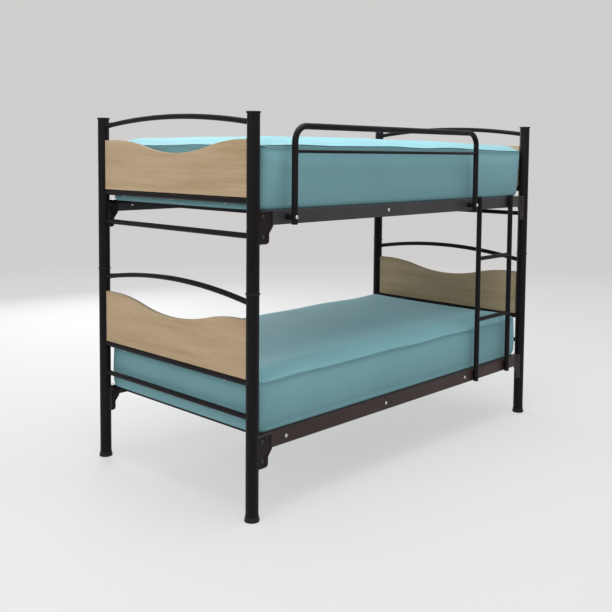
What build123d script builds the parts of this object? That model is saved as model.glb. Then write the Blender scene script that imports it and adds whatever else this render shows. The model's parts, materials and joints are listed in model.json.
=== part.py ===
from build123d import *
import os

os.makedirs("parts", exist_ok=True)

# Steel bunk bed: two stacked bunks with wavy wooden end panels, a bolted guard
# rail, a hook-on ladder and two mattresses. Millimetres, +Z up, X along the
# bed. The guard rail and the ladder are on the front, the -Y side. The origin
# is on the floor, at the middle of the whole object's box.

# Clearances
running_clearance = 0.05
weld_gap = 0.1
body_gap = 0.3
overrun = 10.0

# Posts: round tubes, a long one below and a short one above at each corner
post_spacing_length = 1950.0
post_spacing_width = 990.0
post_diameter = 50.0
post_wall = 1.5

# Foot, collar and spigot between the bunks, and top cap of a post
foot_diameter = 59.0
foot_neck_diameter = 53.0
foot_height = 22.0
foot_base = 4.0
foot_lip = 6.0
foot_edge_radius = 2.0
collar_diameter = 57.0
collar_height = 5.0
collar_edge_radius = 1.5
spigot_wall = 2.5
spigot_depth = 50.0
spigot_rise = 60.0
cap_diameter = 56.0
cap_height = 6.0
cap_edge_radius = 1.5
cap_plug_length = 18.0
cap_plug_gap = 0.2

# Tubes across each end
arch_tube_diameter = 22.0
panel_bar_diameter = 25.0
crossbar_diameter = 22.0
tube_wall = 1.5

# Levels of the lower bunk's end, upwards: the crossbar from the floor, the panel bar from the
# crossbar, the board, the arch's crown from the board, its rise, and the post's top from its ends
lower_crossbar_height = 392.0
lower_panel_bar_rise = 132.0
lower_panel_height = 226.0
lower_arch_gap = 107.5
lower_arch_rise = 46.0
lower_post_rise = 37.5

# The same levels of the upper bunk's end, the crossbar from the foot of the upper posts
upper_crossbar_rise = 211.5
upper_panel_bar_rise = 130.0
upper_panel_height = 217.0
upper_arch_gap = 93.5
upper_arch_rise = 34.0
upper_post_rise = 35.0

# Wooden end panels with a dip along the top edge, a little to the front of the bed's middle
panel_thickness = 18.0
panel_side_gap = 0.3
panel_dip_depth = 54.0
panel_dip_width_share = 0.9
lower_panel_dip_place = -8.0
upper_panel_dip_place = -30.0
panel_edge_radius = 1.5
panel_screw_diameter = 4.5
panel_screw_bite = 25.0
panel_screw_head_diameter = 9.0
panel_screw_head_height = 3.0
panel_screw_place_shares = (-0.36, 0.0, 0.36)

# Side rails: angle section, with its web outward and its flange on top. The lower rail's top is
# from the floor, and the upper one's from the foot of the upper posts.
lower_rail_top = 322.0
upper_rail_rise = 305.5
rail_reach = 20.0
rail_height = 55.0
rail_flange_width = 30.0
rail_sheet = 2.0
rail_bend_radius = 3.0
rail_end_gap = 1.0

# Rail end plates, with a tongue below the rail, and the brackets on the posts
end_plate_thickness = 4.0
end_plate_length = 84.0
tongue_length = 64.0
tongue_depth = 125.0
tongue_shoulder_depth = 60.0
tongue_slope_height = 26.0
tongue_corner_radius = 14.0
end_plate_recess = 2.0
recess_margin = 10.0
ridge_width = 5.0
ridge_length = 24.0
ridge_rise = 1.5
ridge_place = 50.5
bracket_thickness = 4.0
bracket_length = 60.0
bracket_margin = 4.0

# Bolts
bolt_diameter = 8.0
bolt_hole_clearance = 0.2
bolt_head_diameter = 15.0
bolt_head_height = 4.0
bolt_head_taper = 35.0
nut_across_flats = 13.0
nut_height = 6.5
bolt_tail = 2.0
end_bolt_place = 35.0
end_bolt_drop = 22.0
end_bolt_spacing = 76.0
rail_bolt_drop = 27.0

# Slats: flat tubes welded below the rail flanges
slat_count = 11
slat_width = 30.0
slat_height = 13.0
slat_wall = 1.2
slat_end_distance = 65.0
slat_bracket_gap = 0.5

# Guard rail, bolted to the upper front rail with spacers: from near the left post to the ladder
guard_tube_diameter = 25.0
guard_end_distance = 160.0
guard_ladder_distance = 80.0
guard_rise = 317.0
guard_bend_radius = 60.0
guard_bar_drop = 96.0
guard_bar_diameter = 12.5
guard_spacer_length = 25.0
guard_spacer_diameter = 24.0

# Ladder, hooked into two slots of the upper front rail, near the right post
ladder_end_distance = 185.0
ladder_width = 290.0
ladder_tube_diameter = 25.0
ladder_rise = 8.0
ladder_drop = 54.0
rung_diameter = 20.0
rung_count = 2
ladder_plug_height = 3.0
ladder_plug_depth = 15.0
hook_width = 20.0
hook_thickness = 4.0
hook_drop = 12.0
hook_slot_gap = 2.0

# Mattresses: crowned, with drawn-in sides and rounded edges, between the panels and the rails
mattress_end_gap = 21.0
mattress_rail_gap = 12.0
lower_mattress_thickness = 238.0
upper_mattress_thickness = 290.0
mattress_crown = 10.0
mattress_draw_in = 10.0
mattress_corner_radius = 20.0
mattress_edge_radius = 34.0
mattress_base_radius = 14.0
mattress_end_bow = 6.0

# Places that follow from the sizes above
guard_reach = rail_reach + guard_spacer_length + guard_tube_diameter / 2
front_reach = guard_reach + guard_tube_diameter / 2 + bolt_head_height
back_reach = foot_diameter / 2
bed_axis_y = (front_reach - back_reach) / 2
post_x = post_spacing_length / 2
front_y = bed_axis_y - post_spacing_width / 2
back_y = bed_axis_y + post_spacing_width / 2
bed_mid_plane = Plane.XZ.offset(-bed_axis_y)
lower_panel_bar_height = lower_crossbar_height + lower_panel_bar_rise
lower_panel_top = lower_panel_bar_height + panel_bar_diameter / 2 + lower_panel_height
lower_arch_crown = lower_panel_top + lower_arch_gap
lower_post_top = lower_arch_crown - lower_arch_rise + lower_post_rise
upper_post_bottom = lower_post_top + collar_height
upper_rail_top = upper_post_bottom + upper_rail_rise
upper_crossbar_height = upper_post_bottom + upper_crossbar_rise
upper_panel_bar_height = upper_crossbar_height + upper_panel_bar_rise
upper_panel_top = upper_panel_bar_height + panel_bar_diameter / 2 + upper_panel_height
upper_arch_crown = upper_panel_top + upper_arch_gap
upper_post_top = upper_arch_crown - upper_arch_rise + upper_post_rise
ladder_right = post_x - ladder_end_distance
ladder_left = ladder_right - ladder_width
ladder_reach = rail_reach + body_gap + ladder_tube_diameter / 2
ladder_top = upper_rail_top + ladder_rise
ladder_bottom = lower_rail_top - ladder_drop
rung_pitch = (ladder_top - ladder_bottom) / (rung_count + 1)
guard_left = -post_x + guard_end_distance
guard_right = ladder_left - guard_ladder_distance
guard_top_height = upper_rail_top + guard_rise
guard_bar_height = guard_top_height - guard_bar_drop
mattress_length = post_spacing_length - panel_thickness - 2 * mattress_end_gap
mattress_width = post_spacing_width + 2 * (rail_reach - rail_sheet - mattress_rail_gap)

bunks = {
    "lower": {
        "post_bottom": foot_base,
        "post_top": lower_post_top,
        "arch_crown": lower_arch_crown,
        "arch_rise": lower_arch_rise,
        "panel_bar": lower_panel_bar_height,
        "panel_height": lower_panel_height,
        "panel_dip": lower_panel_dip_place,
        "crossbar": lower_crossbar_height,
        "rail_top": lower_rail_top,
        "mattress": lower_mattress_thickness,
    },
    "upper": {
        "post_bottom": upper_post_bottom,
        "post_top": upper_post_top,
        "arch_crown": upper_arch_crown,
        "arch_rise": upper_arch_rise,
        "panel_bar": upper_panel_bar_height,
        "panel_height": upper_panel_height,
        "panel_dip": upper_panel_dip_place,
        "crossbar": upper_crossbar_height,
        "rail_top": upper_rail_top,
        "mattress": upper_mattress_thickness,
    },
}
ends = {"left": -post_x, "right": post_x}
sides = {"front": front_y, "back": back_y}


def keep(piece, name):
    """Label a finished piece and write its STEP file."""
    piece.part.label = name
    export_step(piece.part, f"parts/{name}.step")


def front_plane(reach):
    """Plane that faces the front, a reach outward of the front post axes; it is drawn on in X and Z."""
    return Plane(origin=(0, front_y - reach, 0), x_dir=(1, 0, 0), z_dir=(0, -1, 0))


def tube_section(diameter, wall):
    """Ring in the open sketch: the section of a round tube."""
    Circle(diameter / 2)
    Circle(diameter / 2 - wall, mode=Mode.SUBTRACT)


def cut_posts(x):
    """Shape the open part's ends to the two posts at one end of the bed."""
    with Locations((x, front_y, 0), (x, back_y, 0)):
        Cylinder(
            post_diameter / 2 + weld_gap,
            upper_post_top + overrun,
            align=(Align.CENTER, Align.CENTER, Align.MIN),
            mode=Mode.SUBTRACT,
        )


def mirror_to_corners():
    """Repeat the open part, made at the front left corner, at the three others."""
    mirror(about=Plane.YZ)
    mirror(about=bed_mid_plane)


def add_bolt(x, z, head_face, nut_face):
    """One domed bolt through the front, with its nut; the faces are reaches from the post axes."""
    tail_reach = nut_face - nut_height - bolt_tail
    with BuildSketch(front_plane(head_face)) as head:
        with Locations((x, z)):
            Circle(bolt_head_diameter / 2)
    extrude(head.sketch, amount=bolt_head_height, taper=bolt_head_taper)
    with BuildSketch(front_plane(tail_reach)) as shank:
        with Locations((x, z)):
            Circle(bolt_diameter / 2)
    extrude(shank.sketch, amount=head_face - tail_reach)
    with BuildSketch(front_plane(nut_face - nut_height)) as nut:
        with Locations((x, z)):
            RegularPolygon(nut_across_flats / 2, side_count=6, major_radius=False)
            Circle(bolt_diameter / 2 + running_clearance, mode=Mode.SUBTRACT)
    extrude(nut.sketch, amount=nut_height)


def cut_bolt_holes(places, reach):
    """Holes along Y through the open part, all the way in from a front plane at the given reach."""
    with BuildSketch(front_plane(reach)) as holes:
        with Locations(*places):
            Circle(bolt_diameter / 2 + bolt_hole_clearance)
    extrude(holes.sketch, amount=-(reach + post_diameter), mode=Mode.SUBTRACT)


# Posts
def make_post(x, y, bottom, top):
    with BuildPart() as post:
        with BuildSketch(Plane((x, y, bottom))):
            tube_section(post_diameter, post_wall)
        extrude(amount=top - bottom)
    return post


for bunk_name, bunk in bunks.items():
    for side_name, y in sides.items():
        for end_name, x in ends.items():
            post = make_post(x, y, bunk["post_bottom"], bunk["post_top"])
            keep(post, f"{bunk_name}_post_{side_name}_{end_name}")


# Feet: plastic sleeves that flare towards the floor
def make_foot(x, y):
    neck_radius = foot_neck_diameter / 2
    foot_radius = foot_diameter / 2
    with BuildPart() as foot:
        with BuildSketch(Plane.XZ) as profile:
            with BuildLine():
                flare = TangentArc(
                    (neck_radius, foot_height),
                    (foot_radius, foot_lip),
                    tangent=(0, -1),
                )
                Polyline(flare @ 1, (foot_radius, 0), (0, 0), (0, foot_height), flare @ 0)
            make_face()
            fillet(profile.vertices().group_by(Axis.Y)[0].sort_by(Axis.X)[-1], foot_edge_radius)
        revolve(axis=Axis.Z)
        with Locations((0, 0, foot_base)):
            Cylinder(
                post_diameter / 2 + running_clearance,
                foot_height,
                align=(Align.CENTER, Align.CENTER, Align.MIN),
                mode=Mode.SUBTRACT,
            )
    with BuildPart() as placed:
        add(foot.part.moved(Location((x, y, 0))))
    return placed


for side_name, y in sides.items():
    for end_name, x in ends.items():
        keep(make_foot(x, y), f"foot_{side_name}_{end_name}")

# Stacking spigots: short tubes that stand in the lower posts and enter the upper ones
spigot_diameter = post_diameter - 2 * post_wall - 2 * running_clearance
with BuildPart() as spigots:
    with BuildSketch(Plane((-post_x, front_y, lower_post_top - spigot_depth))):
        tube_section(spigot_diameter, spigot_wall)
    extrude(amount=spigot_depth + spigot_rise)
    mirror_to_corners()
keep(spigots, "stacking_spigots")

# Collars: thin plastic rings between the lower and the upper posts
with BuildPart() as collars:
    with BuildSketch(Plane((-post_x, front_y, lower_post_top))):
        Circle(collar_diameter / 2)
        Circle(spigot_diameter / 2 + running_clearance, mode=Mode.SUBTRACT)
    extrude(amount=collar_height)
    rims = collars.edges().filter_by(GeomType.CIRCLE).sort_by(SortBy.RADIUS)[-2:]
    fillet(rims, collar_edge_radius)
    mirror_to_corners()
keep(collars, "joint_collars")

# Caps: plastic discs on the upper posts, each with a hollow plug inside the tube
plug_radius = post_diameter / 2 - post_wall - cap_plug_gap
with BuildPart() as caps:
    with BuildSketch(Plane((-post_x, front_y, upper_post_top))):
        Circle(cap_diameter / 2)
    extrude(amount=cap_height)
    fillet(caps.edges().sort_by(Axis.Z)[-1], cap_edge_radius)
    with BuildSketch(Plane((-post_x, front_y, upper_post_top - cap_plug_length))):
        tube_section(2 * plug_radius, spigot_wall)
    extrude(amount=cap_plug_length)
    mirror_to_corners()
keep(caps, "post_caps")


# Arches: tubes bent to an arc between the posts of one end
def make_arch(x, crown, rise):
    with BuildPart() as arch:
        with BuildLine() as path:
            ThreePointArc((x, front_y, crown - rise), (x, bed_axis_y, crown), (x, back_y, crown - rise))
        with BuildSketch(Plane(origin=path.line @ 0, z_dir=path.line % 0)):
            tube_section(arch_tube_diameter, tube_wall)
        sweep()
        cut_posts(x)
    return arch


def make_crossbar(x, z, diameter):
    """Straight tube from post to post."""
    with BuildPart() as bar:
        with BuildSketch(Plane((x, bed_axis_y, z), x_dir=(1, 0, 0), z_dir=(0, 1, 0))):
            tube_section(diameter, tube_wall)
        extrude(amount=post_spacing_width / 2, both=True)
        cut_posts(x)
    return bar


# Panels: boards that stand on their bars between the posts
panel_width = post_spacing_width - post_diameter - 2 * panel_side_gap
screw_places = [share * panel_width for share in panel_screw_place_shares]


def make_panel(x, bottom, height, dip_place):
    half_width = panel_width / 2
    dip_half = half_width * panel_dip_width_share
    dip_front = dip_place - dip_half
    dip_back = dip_place + dip_half
    slope_front = dip_place - dip_half / 2
    slope_back = dip_place + dip_half / 2
    valley = height - panel_dip_depth
    middle = height - panel_dip_depth / 2
    plane = Plane((x - panel_thickness / 2, bed_axis_y, bottom), x_dir=(0, 1, 0), z_dir=(1, 0, 0))
    with BuildPart() as panel:
        with BuildSketch(plane):
            with BuildLine():
                Polyline((dip_front, height), (-half_width, height), (-half_width, 0), (half_width, 0))
                Polyline((half_width, 0), (half_width, height), (dip_back, height))
                TangentArc((dip_back, height), (slope_back, middle), tangent=(-1, 0))
                ThreePointArc((slope_back, middle), (dip_place, valley), (slope_front, middle))
                TangentArc((dip_front, height), (slope_front, middle), tangent=(1, 0))
            make_face()
        extrude(amount=panel_thickness)
        faces = panel.faces().sort_by(Axis.X)
        fillet(faces[0].edges() + faces[-1].edges(), panel_edge_radius)
        with Locations(*[(x, bed_axis_y + place, bottom) for place in screw_places]):
            Cylinder(
                panel_screw_diameter / 2 + running_clearance,
                2 * (panel_screw_bite + running_clearance),
                mode=Mode.SUBTRACT,
            )
    return panel


def make_panel_bar(x, z):
    """Crossbar below a panel, drilled for the panel's screws."""
    bar = make_crossbar(x, z, panel_bar_diameter)
    with BuildPart() as drilled:
        add(bar.part)
        with Locations(*[(x, bed_axis_y + place, z) for place in screw_places]):
            Cylinder(
                panel_screw_diameter / 2 + running_clearance,
                panel_bar_diameter + overrun,
                mode=Mode.SUBTRACT,
            )
    return drilled


for bunk_name, bunk in bunks.items():
    panel_bottom = bunk["panel_bar"] + panel_bar_diameter / 2
    for end_name, x in ends.items():
        keep(make_arch(x, bunk["arch_crown"], bunk["arch_rise"]), f"{bunk_name}_arch_{end_name}")
        keep(make_panel_bar(x, bunk["panel_bar"]), f"{bunk_name}_panel_bar_{end_name}")
        crossbar = make_crossbar(x, bunk["crossbar"], crossbar_diameter)
        keep(crossbar, f"{bunk_name}_crossbar_{end_name}")
        panel = make_panel(x, panel_bottom, bunk["panel_height"], bunk["panel_dip"])
        keep(panel, f"{bunk_name}_panel_{end_name}")

# Panel screws: up through the bar into the board, heads below the bar
for bunk_name, bunk in bunks.items():
    bar_bottom = bunk["panel_bar"] - panel_bar_diameter / 2
    with BuildPart() as screws:
        for place in screw_places:
            with BuildSketch(Plane((-post_x, bed_axis_y + place, bar_bottom - panel_screw_head_height))):
                Circle(panel_screw_head_diameter / 2)
            extrude(amount=panel_screw_head_height)
            with BuildSketch(Plane((-post_x, bed_axis_y + place, bar_bottom))):
                Circle(panel_screw_diameter / 2)
            extrude(amount=panel_bar_diameter + panel_screw_bite)
        mirror(about=Plane.YZ)
    keep(screws, f"{bunk_name}_panel_screws")

# Side rails. Every rail has the same three bolts: the outer two also hold a guard rail.
rail_end = post_x - post_diameter / 2 - rail_end_gap
web_end = post_x - end_plate_length
rail_bolt_places = (guard_left, (guard_left + guard_right) / 2, guard_right)
hook_leg_reach = rail_reach - rail_sheet - hook_slot_gap - hook_slot_gap - hook_thickness


def make_front_rail(top, hook_places):
    outer = front_y - rail_reach
    with BuildPart() as rail:
        with BuildSketch(Plane((-rail_end, 0, 0), x_dir=(0, 1, 0), z_dir=(1, 0, 0))) as section:
            with BuildLine():
                Polyline(
                    (outer, top),
                    (outer, top - rail_height),
                    (outer + rail_sheet, top - rail_height),
                    (outer + rail_sheet, top - rail_sheet),
                    (outer + rail_flange_width, top - rail_sheet),
                    (outer + rail_flange_width, top),
                    close=True,
                )
            make_face()
            corners = section.vertices().sort_by_distance((outer, top))
            fillet(corners[0], rail_bend_radius)
            fillet(corners[1], rail_bend_radius - rail_sheet)
        extrude(amount=2 * rail_end)
        for end_x in (-1, 1):
            with BuildSketch(front_plane(rail_reach + overrun)):
                with Locations((end_x * web_end, top - rail_sheet)):
                    outward = Align.MIN if end_x > 0 else Align.MAX
                    Rectangle(end_plate_length, rail_height, align=(outward, Align.MAX))
            extrude(amount=-(rail_sheet + rail_bend_radius + overrun), mode=Mode.SUBTRACT)
        cut_bolt_holes([(x, top - rail_bolt_drop) for x in rail_bolt_places], rail_reach + overrun)
        for x in hook_places:
            slot_y = front_y - hook_leg_reach - hook_thickness / 2
            with Locations((x, slot_y, top)):
                Box(
                    hook_width + 2 * hook_slot_gap,
                    hook_thickness + 2 * hook_slot_gap,
                    2 * (rail_sheet + rail_bend_radius),
                    mode=Mode.SUBTRACT,
                )
    return rail


for bunk_name, bunk in bunks.items():
    hook_places = (ladder_left, ladder_right) if bunk_name == "upper" else ()
    keep(make_front_rail(bunk["rail_top"], hook_places), f"{bunk_name}_rail_front")
    plain_rail = make_front_rail(bunk["rail_top"], ())
    with BuildPart() as back_rail:
        add(plain_rail.part.mirror(bed_mid_plane))
    keep(back_rail, f"{bunk_name}_rail_back")


# Rail end plates: welded below the flange at each rail end, with a tongue and a pressed recess
def make_end_plates(top):
    plate_back = rail_reach - end_plate_thickness
    floor = rail_reach - end_plate_recess
    plate_top = top - rail_sheet
    shoulder = top - tongue_shoulder_depth
    slope_end = shoulder - tongue_slope_height
    bottom = top - tongue_depth
    bolt_places = [
        (-post_x + end_bolt_place, top - end_bolt_drop),
        (-post_x + end_bolt_place, top - end_bolt_drop - end_bolt_spacing),
    ]
    with BuildPart() as plates:
        with BuildSketch(front_plane(plate_back)):
            with BuildLine():
                Polyline(
                    (-post_x, bottom),
                    (-post_x, plate_top),
                    (-post_x + end_plate_length, plate_top),
                    (-post_x + end_plate_length, shoulder),
                    (-post_x + tongue_length, slope_end),
                    (-post_x + tongue_length, bottom + tongue_corner_radius),
                )
                RadiusArc(
                    (-post_x + tongue_length, bottom + tongue_corner_radius),
                    (-post_x + tongue_length - tongue_corner_radius, bottom),
                    tongue_corner_radius,
                )
                Line((-post_x + tongue_length - tongue_corner_radius, bottom), (-post_x, bottom))
            make_face()
        extrude(amount=end_plate_thickness)
        with BuildSketch(front_plane(floor)):
            with BuildLine():
                Polyline(
                    (-post_x, bottom + recess_margin),
                    (-post_x, plate_top - recess_margin / 2),
                    (-post_x + end_plate_length - recess_margin, plate_top - recess_margin / 2),
                    (-post_x + end_plate_length - recess_margin, shoulder),
                    (-post_x + tongue_length - recess_margin, slope_end),
                    (-post_x + tongue_length - recess_margin, bottom + recess_margin),
                    close=True,
                )
            make_face()
        extrude(amount=end_plate_recess + overrun, mode=Mode.SUBTRACT)
        with BuildSketch(front_plane(floor)):
            with Locations(*[(-post_x + ridge_place, z) for x, z in bolt_places]):
                SlotOverall(ridge_length, ridge_width, rotation=90)
        extrude(amount=ridge_rise)
        cut_bolt_holes(bolt_places, rail_reach + overrun)
        cut_posts(-post_x)
        mirror_to_corners()
    return plates


# Post brackets: flat plates welded to the posts, behind the end plates
def make_post_brackets(top):
    with BuildPart() as brackets:
        with BuildSketch(front_plane(rail_reach - end_plate_thickness - bracket_thickness)):
            with Locations((-post_x, top - rail_sheet - bracket_margin)):
                bracket_height = tongue_depth - rail_sheet - 2 * bracket_margin
                Rectangle(bracket_length, bracket_height, align=(Align.MIN, Align.MAX))
        extrude(amount=bracket_thickness)
        cut_bolt_holes(
            [
                (-post_x + end_bolt_place, top - end_bolt_drop),
                (-post_x + end_bolt_place, top - end_bolt_drop - end_bolt_spacing),
            ],
            rail_reach,
        )
        cut_posts(-post_x)
        mirror_to_corners()
    return brackets


for bunk_name, bunk in bunks.items():
    rail_top = bunk["rail_top"]
    keep(make_end_plates(rail_top), f"{bunk_name}_rail_end_plates")
    keep(make_post_brackets(rail_top), f"{bunk_name}_post_brackets")
    with BuildPart() as end_bolts:
        for drop in (end_bolt_drop, end_bolt_drop + end_bolt_spacing):
            add_bolt(
                -post_x + end_bolt_place,
                rail_top - drop,
                rail_reach - end_plate_recess,
                rail_reach - end_plate_thickness - bracket_thickness,
            )
        mirror_to_corners()
    keep(end_bolts, f"{bunk_name}_end_bolts")

# Rail bolts: the guard rail's own bolts take the outer two holes of the upper front rail
rail_bolt_z = {name: bunk["rail_top"] - rail_bolt_drop for name, bunk in bunks.items()}
rail_inner_reach = rail_reach - rail_sheet
with BuildPart() as lower_rail_bolts:
    for x in rail_bolt_places:
        add_bolt(x, rail_bolt_z["lower"], rail_reach, rail_inner_reach)
    mirror(about=bed_mid_plane)
keep(lower_rail_bolts, "lower_rail_bolts")

with BuildPart() as outer_pair:
    for x in (guard_left, guard_right):
        add_bolt(x, rail_bolt_z["upper"], rail_reach, rail_inner_reach)
with BuildPart() as upper_rail_bolts:
    add_bolt(rail_bolt_places[1], rail_bolt_z["upper"], rail_reach, rail_inner_reach)
    mirror(about=bed_mid_plane)
    add(outer_pair.part.mirror(bed_mid_plane))
keep(upper_rail_bolts, "upper_rail_bolts")

# Slats
bracket_back = rail_reach - end_plate_thickness - bracket_thickness
slat_half_length = post_spacing_width / 2 + bracket_back - slat_bracket_gap
first_slat_x = -post_x + slat_end_distance
slat_pitch = -2 * first_slat_x / (slat_count - 1)
for bunk_name, bunk in bunks.items():
    slat_z = bunk["rail_top"] - rail_sheet - slat_height / 2
    with BuildPart() as slats:
        for number in range(slat_count):
            slat_x = first_slat_x + number * slat_pitch
            with BuildSketch(Plane((slat_x, bed_axis_y, slat_z), x_dir=(1, 0, 0), z_dir=(0, 1, 0))):
                Rectangle(slat_width, slat_height)
                Rectangle(slat_width - 2 * slat_wall, slat_height - 2 * slat_wall, mode=Mode.SUBTRACT)
            extrude(amount=slat_half_length, both=True)
    keep(slats, f"{bunk_name}_slats")

# Guard rail: one bent tube, a thin bar across it, and two bolts with saddle-ended spacers
guard_y = front_y - guard_reach
guard_bottom = upper_rail_top - rail_height + body_gap
guard_bolt_z = rail_bolt_z["upper"]
guard_front = guard_reach + guard_tube_diameter / 2
with BuildPart() as guard_tube:
    with BuildLine() as guard_path:
        FilletPolyline(
            (guard_left, guard_y, guard_bottom),
            (guard_left, guard_y, guard_top_height),
            (guard_right, guard_y, guard_top_height),
            (guard_right, guard_y, guard_bottom),
            radius=guard_bend_radius,
        )
    with BuildSketch(Plane(origin=guard_path.line @ 0, z_dir=guard_path.line % 0)):
        tube_section(guard_tube_diameter, tube_wall)
    sweep()
    with BuildSketch(front_plane(guard_front + overrun)):
        with Locations((guard_left, guard_bolt_z), (guard_right, guard_bolt_z)):
            Circle(bolt_diameter / 2 + bolt_hole_clearance)
    extrude(amount=-(guard_tube_diameter + 2 * overrun), mode=Mode.SUBTRACT)
keep(guard_tube, "guard_rail_tube")

with BuildPart() as guard_bar:
    with BuildSketch(Plane((guard_left, guard_y, guard_bar_height), x_dir=(0, 1, 0), z_dir=(1, 0, 0))):
        Circle(guard_bar_diameter / 2)
    extrude(amount=guard_right - guard_left)
    with Locations((guard_left, guard_y, guard_bar_height), (guard_right, guard_y, guard_bar_height)):
        Cylinder(guard_tube_diameter / 2 + weld_gap, 2 * guard_tube_diameter, mode=Mode.SUBTRACT)
keep(guard_bar, "guard_rail_bar")

with BuildPart() as guard_spacers:
    with BuildSketch(front_plane(rail_reach)):
        with Locations((guard_left, guard_bolt_z), (guard_right, guard_bolt_z)):
            Circle(guard_spacer_diameter / 2)
            Circle(bolt_diameter / 2 + bolt_hole_clearance, mode=Mode.SUBTRACT)
    extrude(amount=guard_reach - rail_reach)
    with Locations((guard_left, guard_y, guard_bolt_z), (guard_right, guard_y, guard_bolt_z)):
        Cylinder(guard_tube_diameter / 2 + weld_gap, 2 * guard_tube_diameter, mode=Mode.SUBTRACT)
keep(guard_spacers, "guard_rail_spacers")

with BuildPart() as guard_bolts:
    for x in (guard_left, guard_right):
        add_bolt(x, guard_bolt_z, guard_front, rail_inner_reach)
keep(guard_bolts, "guard_rail_bolts")

# Ladder
ladder_y = front_y - ladder_reach
for stile_name, x in (("left", ladder_left), ("right", ladder_right)):
    with BuildPart() as stile:
        with BuildSketch(Plane((x, ladder_y, ladder_bottom))):
            tube_section(ladder_tube_diameter, tube_wall)
        extrude(amount=ladder_top - ladder_bottom)
    keep(stile, f"ladder_stile_{stile_name}")

for number in range(1, rung_count + 1):
    rung_z = ladder_bottom + number * rung_pitch
    with BuildPart() as rung:
        with BuildSketch(Plane((ladder_left, ladder_y, rung_z), x_dir=(0, 1, 0), z_dir=(1, 0, 0))):
            tube_section(rung_diameter, tube_wall)
        extrude(amount=ladder_width)
        with Locations((ladder_left, ladder_y, rung_z), (ladder_right, ladder_y, rung_z)):
            Cylinder(ladder_tube_diameter / 2 + weld_gap, 2 * ladder_tube_diameter, mode=Mode.SUBTRACT)
    keep(rung, f"ladder_rung_{number}")

# Ladder hooks: straps that lie on the rail's flange and drop through its slots
hook_leg_y = front_y - hook_leg_reach
with BuildPart() as hooks:
    for x in (ladder_left, ladder_right):
        with BuildSketch(Plane((x - hook_width / 2, 0, 0), x_dir=(0, 1, 0), z_dir=(1, 0, 0))):
            with BuildLine():
                Polyline(
                    (ladder_y, upper_rail_top),
                    (hook_leg_y - hook_thickness, upper_rail_top),
                    (hook_leg_y - hook_thickness, upper_rail_top - hook_drop),
                    (hook_leg_y, upper_rail_top - hook_drop),
                    (hook_leg_y, upper_rail_top + hook_thickness),
                    (ladder_y, upper_rail_top + hook_thickness),
                    close=True,
                )
            make_face()
        extrude(amount=hook_width)
    with Locations((ladder_left, ladder_y, upper_rail_top), (ladder_right, ladder_y, upper_rail_top)):
        Cylinder(ladder_tube_diameter / 2 + weld_gap, 2 * ladder_tube_diameter, mode=Mode.SUBTRACT)
keep(hooks, "ladder_hooks")

# Ladder end plugs: plastic, one in each end of each stile
ladder_plug_radius = ladder_tube_diameter / 2 - tube_wall - cap_plug_gap
with BuildPart() as ladder_plugs:
    for x in (ladder_left, ladder_right):
        with BuildSketch(Plane((x, ladder_y, ladder_top))):
            Circle(ladder_tube_diameter / 2)
        extrude(amount=ladder_plug_height, taper=bolt_head_taper)
        with BuildSketch(Plane((x, ladder_y, ladder_top - ladder_plug_depth))):
            Circle(ladder_plug_radius)
        extrude(amount=ladder_plug_depth)
        with BuildSketch(Plane((x, ladder_y, ladder_bottom - ladder_plug_height))):
            Circle(ladder_tube_diameter / 2)
        extrude(amount=ladder_plug_height)
        with BuildSketch(Plane((x, ladder_y, ladder_bottom))):
            Circle(ladder_plug_radius)
        extrude(amount=ladder_plug_depth)
keep(ladder_plugs, "ladder_end_plugs")


# Mattresses: they lie on the slats, between the rails. Each is where a cross section, a long
# section and a plan meet.
def rounded_outline(half_bottom, half_top, height, crown, edge, base_edge):
    """Closed outline of a cushion's section in the open line: flat base, leaning sides, crowned top."""
    Line((-half_bottom + base_edge, 0), (half_bottom - base_edge, 0))
    for way in (-1, 1):
        base = TangentArc(
            (way * (half_bottom - base_edge), 0),
            (way * half_bottom, base_edge),
            tangent=(way, 0),
        )
        lean = Line(base @ 1, (way * half_top, height - crown - edge))
        TangentArc(lean @ 1, (way * (half_top - edge), height - crown), tangent=lean % 1)
    ThreePointArc((-half_top + edge, height - crown), (0, height), (half_top - edge, height - crown))


def make_mattress(rail_top, thickness):
    bottom = rail_top - rail_sheet + body_gap
    half_length = mattress_length / 2
    half_width = mattress_width / 2
    corner = mattress_corner_radius
    with BuildPart() as mattress:
        with BuildSketch(Plane((-half_length, bed_axis_y, bottom), x_dir=(0, 1, 0), z_dir=(1, 0, 0))):
            with BuildLine():
                rounded_outline(
                    half_width - mattress_draw_in,
                    half_width,
                    thickness,
                    mattress_crown,
                    mattress_edge_radius,
                    mattress_base_radius,
                )
            make_face()
        extrude(amount=mattress_length)
        with BuildSketch(Plane((0, back_y, bottom), x_dir=(1, 0, 0), z_dir=(0, -1, 0))):
            with BuildLine():
                rounded_outline(
                    half_length - mattress_draw_in,
                    half_length,
                    thickness,
                    mattress_crown,
                    mattress_edge_radius,
                    mattress_base_radius,
                )
            make_face()
        extrude(amount=post_spacing_width, mode=Mode.INTERSECT)
        with BuildSketch(Plane((0, bed_axis_y, bottom))):
            with BuildLine():
                for way in (-1, 1):
                    end_x = way * (half_length - mattress_end_bow)
                    side_y = way * half_width
                    ThreePointArc(
                        (end_x, -half_width + corner),
                        (way * half_length, 0),
                        (end_x, half_width - corner),
                    )
                    Line(
                        (-half_length + mattress_end_bow + corner, side_y),
                        (half_length - mattress_end_bow - corner, side_y),
                    )
                    for turn in (-1, 1):
                        TangentArc(
                            (way * (half_length - mattress_end_bow - corner), turn * half_width),
                            (end_x, turn * (half_width - corner)),
                            tangent=(way, 0),
                        )
            make_face()
        extrude(amount=thickness, mode=Mode.INTERSECT)
    return mattress


for bunk_name, bunk in bunks.items():
    keep(make_mattress(bunk["rail_top"], bunk["mattress"]), f"{bunk_name}_mattress")
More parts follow.
